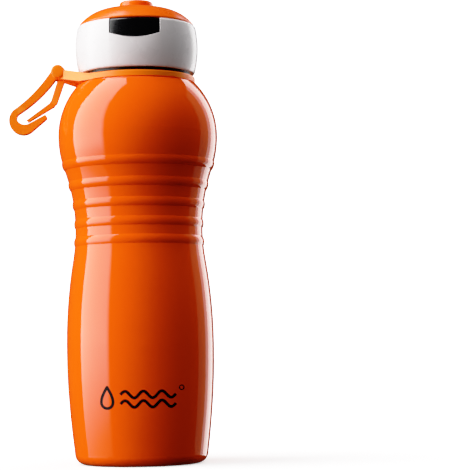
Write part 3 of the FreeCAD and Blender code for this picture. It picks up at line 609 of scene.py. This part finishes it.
def front_print():
    """Generic printed mark: a drop, two waves and a small bubble."""
    tree = BVHTree.FromObject(NODES["bottle_shell"], bpy.context.evaluated_depsgraph_get())
    shape = bmesh.new()
    stroke_mesh(shape, tree, droplet(-14.3, 3.3, 4.8), STROKE, True)
    for height in WAVE_HEIGHTS:
        line = wave(*WAVE_ENDS, height, WAVE_SWING, WAVE_CRESTS)
        stroke_mesh(shape, tree, line, STROKE, False)
    stroke_mesh(shape, tree, ring(19.3, 35.6, 1.0), FINE_STROKE, True)
    bmesh.ops.recalc_face_normals(shape, faces=shape.faces)
    mesh = bpy.data.meshes.new("front_print")
    shape.to_mesh(mesh)
    shape.free()
    add_piece("front_print", mesh, "bottle", PRINT_BLACK)


front_print()


# ---- studio and camera ------------------------------------------------------------------------

SOFTBOX_RADIANCE = 5.4
SOFTBOX_DISTANCE = 1.15
SOFTBOX_FRONT, SOFTBOX_BACK = 45, 103
SOFTBOX_LOW, SOFTBOX_HIGH = -0.35, 1.25
OVERHEAD_X, OVERHEAD_FRONT, OVERHEAD_BACK = -0.2, -0.26, 0.35
# (width, azimuth, radiance) of the strips behind the bottle, the sharpest one first
RIM_STRIPS = ((0.33, -142, 2.2), (0.52, -139, 1.0), (0.9, -129, 0.3))
FILL_TINT = (1, 0.93, 0.92)
FLOOR_RADIUS = 6.0
BACKDROP_GLOW = 2.5
ROOM_GLOW = 0.04


def area_light(name, place, target, width, height, radiance, color=(1, 1, 1)):
    """A rectangular lamp of a given radiance that faces the target."""
    data = bpy.data.lights.new(name, "AREA")
    data.shape = "RECTANGLE"
    data.size = width
    data.size_y = height
    data.energy = radiance * math.pi * width * height
    data.color = color
    lamp = bpy.data.objects.new(name, data)
    bpy.context.scene.collection.objects.link(lamp)
    lamp.location = place
    lamp.rotation_euler = (Vector(target) - Vector(place)).to_track_quat("-Z", "Y").to_euler()
    lamp.visible_camera = False
    return lamp


def around(azimuth, distance, height):
    """A place at an angle from the camera's side (-Y), turning towards the hook's side (-X)."""
    turned = math.radians(azimuth)
    return (-distance * math.sin(turned), -distance * math.cos(turned), height)


def floor():
    """Pale floor: a disc that glows a little, so that it fades into the white behind it."""
    mesh = bpy.data.meshes.new("floor")
    shape = bmesh.new()
    bmesh.ops.create_circle(shape, cap_ends=True, segments=96, radius=FLOOR_RADIUS)
    shape.to_mesh(mesh)
    shape.free()
    made = bpy.data.objects.new("floor", mesh)
    bpy.context.scene.collection.objects.link(made)
    material, tree, shader = new_material(
        "floor_look", Base_Color=(0.9, 0.9, 0.9, 1), Roughness=0.9, Specular_IOR_Level=0.0,
        Emission_Color=(1, 1, 1, 1)
    )
    place = node(tree, "ShaderNodeTexCoord")
    away = node(tree, "ShaderNodeVectorMath", operation="LENGTH")
    # the glow is weaker near the bottle: painted shade round its foot, which deepens the lamps'
    # real shadow there
    fade = node(tree, "ShaderNodeMapRange", From_Min=0.05, From_Max=0.4, To_Min=0.55, To_Max=2.0)
    tree.links.new(place.outputs["Object"], away.inputs[0])
    tree.links.new(away.outputs["Value"], fade.inputs["Value"])
    tree.links.new(fade.outputs["Result"], shader.inputs["Emission Strength"])
    mesh.materials.append(material)
    made.visible_glossy = False
    made.visible_diffuse = False


def softbox():
    """The main light: a tall curtain on the hook's side that bends over above the bottle. It
    fades towards the floor and towards its front edge, and only its light is seen."""
    front = Vector(around(SOFTBOX_FRONT, SOFTBOX_DISTANCE, 0))
    back = Vector(around(SOFTBOX_BACK, SOFTBOX_DISTANCE, 0))
    inner_front = Vector((OVERHEAD_X, OVERHEAD_FRONT, 0))
    inner_back = Vector((OVERHEAD_X, OVERHEAD_BACK, 0))
    low, high = Vector((0, 0, SOFTBOX_LOW)), Vector((0, 0, SOFTBOX_HIGH))
    mesh = bpy.data.meshes.new("softbox")
    corners = [front + low, back + low, front + high, back + high,
               inner_front + high, inner_back + high]
    mesh.from_pydata(corners, [], [(0, 1, 3, 2), (2, 3, 5, 4)])
    across = mesh.attributes.new("across", "FLOAT", "POINT")
    across.data.foreach_set("value", [0.0, 1.0, 0.0, 1.0, 0.0, 1.0])
    made = bpy.data.objects.new("softbox", mesh)
    bpy.context.scene.collection.objects.link(made)
    material = bpy.data.materials.new("softbox_look")
    material.use_nodes = True
    tree = material.node_tree
    tree.nodes.remove(tree.nodes["Principled BSDF"])
    split = node(tree, "ShaderNodeSeparateXYZ")
    rise = node(tree, "ShaderNodeMapRange", interpolation_type="SMOOTHSTEP",
                From_Min=-0.3, From_Max=0.12, To_Min=0.12, To_Max=1.0)
    side = node(tree, "ShaderNodeAttribute", attribute_name="across")
    edge = node(tree, "ShaderNodeMapRange", interpolation_type="SMOOTHSTEP",
                From_Min=0.0, From_Max=0.16, To_Min=0.0, To_Max=0.8)
    tail = node(tree, "ShaderNodeMapRange", From_Min=0.0, From_Max=1.0, To_Min=0.0, To_Max=0.3)
    total = node(tree, "ShaderNodeMath", operation="ADD")
    faded = node(tree, "ShaderNodeMath", operation="MULTIPLY")
    strength = node(tree, "ShaderNodeMath", operation="MULTIPLY")
    strength.inputs[1].default_value = SOFTBOX_RADIANCE
    glow = node(tree, "ShaderNodeEmission")
    tree.links.new(node(tree, "ShaderNodeTexCoord").outputs["Object"], split.inputs[0])
    tree.links.new(split.outputs["Z"], rise.inputs["Value"])
    tree.links.new(side.outputs["Fac"], edge.inputs["Value"])
    tree.links.new(side.outputs["Fac"], tail.inputs["Value"])
    tree.links.new(edge.outputs["Result"], total.inputs[0])
    tree.links.new(tail.outputs["Result"], total.inputs[1])
    tree.links.new(total.outputs[0], faded.inputs[0])
    tree.links.new(rise.outputs["Result"], faded.inputs[1])
    tree.links.new(faded.outputs[0], strength.inputs[0])
    tree.links.new(strength.outputs[0], glow.inputs["Strength"])
    tree.links.new(glow.outputs[0], tree.nodes["Material Output"].inputs["Surface"])
    mesh.materials.append(material)
    made.visible_camera = False
    made.visible_shadow = False


def studio():
    """The softbox, slim strips behind on the other side, four lights that only lift the shadows,
    and a white backdrop that gives almost no light itself."""
    softbox()
    for width, azimuth, radiance in RIM_STRIPS:
        area_light(f"rim_{abs(azimuth)}", around(azimuth, 0.9, 0.4), (0, 0, 0.4), width, 1.2,
                   radiance)
    fill = area_light("fill", around(40, 1.5, 0.25), (0, 0, 0.1), 1.0, 1.0, 3.8, FILL_TINT)
    back = area_light("back_fill", around(-118, 1.0, 0.3), (0, 0, 0.1), 0.6, 1.1, 3.2)
    side = area_light("side_fill", around(96, 1.2, 0.3), (0, 0, 0.1), 0.8, 1.2, 2.6)
    top = area_light("top_fill", (0.1, -0.35, 1.2), (0, 0, 0.2), 0.7, 0.7, 3.2)
    for lamp in (fill, back, side, top):
        lamp.visible_glossy = False
    world = bpy.data.worlds.new("studio")
    bpy.context.scene.world = world
    world.use_nodes = True
    tree = world.node_tree
    seen = tree.nodes["Background"]
    seen.inputs["Color"].default_value = (1, 1, 1, 1)
    seen.inputs["Strength"].default_value = BACKDROP_GLOW
    unseen = node(tree, "ShaderNodeBackground", Color=(1, 0.98, 0.97, 1), Strength=ROOM_GLOW)
    mix = node(tree, "ShaderNodeMixShader")
    path = node(tree, "ShaderNodeLightPath")
    tree.links.new(path.outputs["Is Camera Ray"], mix.inputs["Fac"])
    tree.links.new(unseen.outputs[0], mix.inputs[1])
    tree.links.new(seen.outputs[0], mix.inputs[2])
    tree.links.new(mix.outputs[0], tree.nodes["World Output"].inputs["Surface"])


TONE_WHITE = 2.0
# (light, brightness shown)
TONES = ((0.02, 0.0052), (0.042, 0.0205), (0.065, 0.053), (0.09, 0.088), (0.3, 0.3),
         (0.5, 0.49), (0.7, 0.66), (1.0, 0.83), (1.4, 0.93))


def photographic_tones():
    """Soft shoulder for the highlights, up to twice the usual white, and deeper shadows."""
    settings = bpy.context.scene.view_settings
    settings.view_transform = "Standard"
    settings.use_curve_mapping = True
    mapping = settings.curve_mapping
    mapping.white_level = (TONE_WHITE, TONE_WHITE, TONE_WHITE)
    for light, shown in TONES:
        point = mapping.curves[3].points.new(light / TONE_WHITE, shown)
        point.handle_type = "AUTO_CLAMPED"
    mapping.update()


CAMERA_AZIMUTH = -2
CAMERA_DISTANCE = 0.805
CAMERA_HEIGHT = 0.0535
CAMERA_PAN, CAMERA_TILT, CAMERA_ROLL = -3.21, 3.73, -0.95
SENSOR_WIDTH = 36
FOCAL_LENGTH = 131.132


def camera():
    """Eye 54 mm above the ground, 0.8 m in front, looking slightly up and past the bottle."""
    data = bpy.data.cameras.new("camera")
    data.sensor_width = SENSOR_WIDTH
    data.lens = FOCAL_LENGTH
    made = bpy.data.objects.new("camera", data)
    bpy.context.scene.collection.objects.link(made)
    made.location = around(CAMERA_AZIMUTH, CAMERA_DISTANCE, CAMERA_HEIGHT)
    turn = (Matrix.Rotation(math.radians(CAMERA_PAN - CAMERA_AZIMUTH), 4, "Z")
            @ Matrix.Rotation(math.radians(90 + CAMERA_TILT), 4, "X")
            @ Matrix.Rotation(math.radians(CAMERA_ROLL), 4, "Z"))
    made.rotation_euler = turn.to_euler()
    bpy.context.scene.camera = made


floor()
studio()
camera()
photographic_tones()
